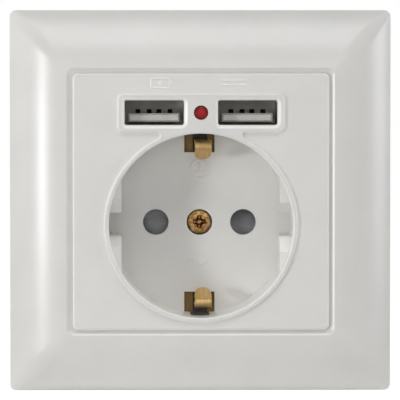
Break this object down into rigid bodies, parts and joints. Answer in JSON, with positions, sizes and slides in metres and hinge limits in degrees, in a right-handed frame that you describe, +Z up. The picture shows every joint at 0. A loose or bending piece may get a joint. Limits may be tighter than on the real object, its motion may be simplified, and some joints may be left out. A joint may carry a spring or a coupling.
{
  "type": "usb wall socket",
  "caption": "Flush wall socket with a round earthed plug well and two USB charging ports in a square cover frame.",
  "frame": {"origin": "middle of the square cover frame, on the wall plane that the fixing frame lies on", "axes": "+Z up, +X to the right seen from the room, -Y out of the wall into the room"},
  "size_m": [0.082, 0.0438, 0.082],
  "materials": {
    "cover_plastic": "pearly white satin moulding",
    "base_plastic": "light grey, fine matt texture",
    "dark_plastic": "dark grey moulding",
    "grey_plastic": "pale grey insulator",
    "brass": "bare stamped brass",
    "zinc_steel": "zinc plated",
    "shell_steel": "nickel plated sheet",
    "red_lens": "clear red light pipe",
    "board": "green lacquered laminate",
    "ferrite": "dark ferrite with taped winding",
    "sleeve": "shrunk sleeve on a can"
  },
  "bodies": {
    "socket": {"cover_frame": "cover_plastic", "socket_cover": "cover_plastic", "cover_screw": "brass", "support_frame": "zinc_steel", "socket_base": "base_plastic", "rear_cover": "base_plastic", "base_rivets": "zinc_steel", "rear_cover_screws": "zinc_steel", "shutter_spring": "zinc_steel", "earth_strap": "brass", "live_contact": "brass", "neutral_contact": "brass", "live_terminal": "brass", "neutral_terminal": "brass", "earth_terminal": "brass", "terminal_screws": "zinc_steel", "indicator_lamp": "red_lens", "usb_board": "board", "charger_board": "board", "transformer": "ferrite", "capacitor": "sleeve", "board_link": "dark_plastic", "usb_shell_left": "shell_steel", "usb_tongue_left": "grey_plastic", "usb_contacts_left": "brass", "usb_shell_right": "shell_steel", "usb_tongue_right": "grey_plastic", "usb_contacts_right": "brass"},
    "shutter": {"shutter": "dark_plastic"}
  },
  "joints": [
    {"name": "shutter_turn", "type": "hinge", "parent": "socket", "child": "shutter", "pos_m": [0, 0.01065, -0.0051], "axis": [0, 1, 0], "range_deg": [0, 40], "stiffness_Nm_per_rad": 0.002, "springref_deg": -28.65}
  ]
}
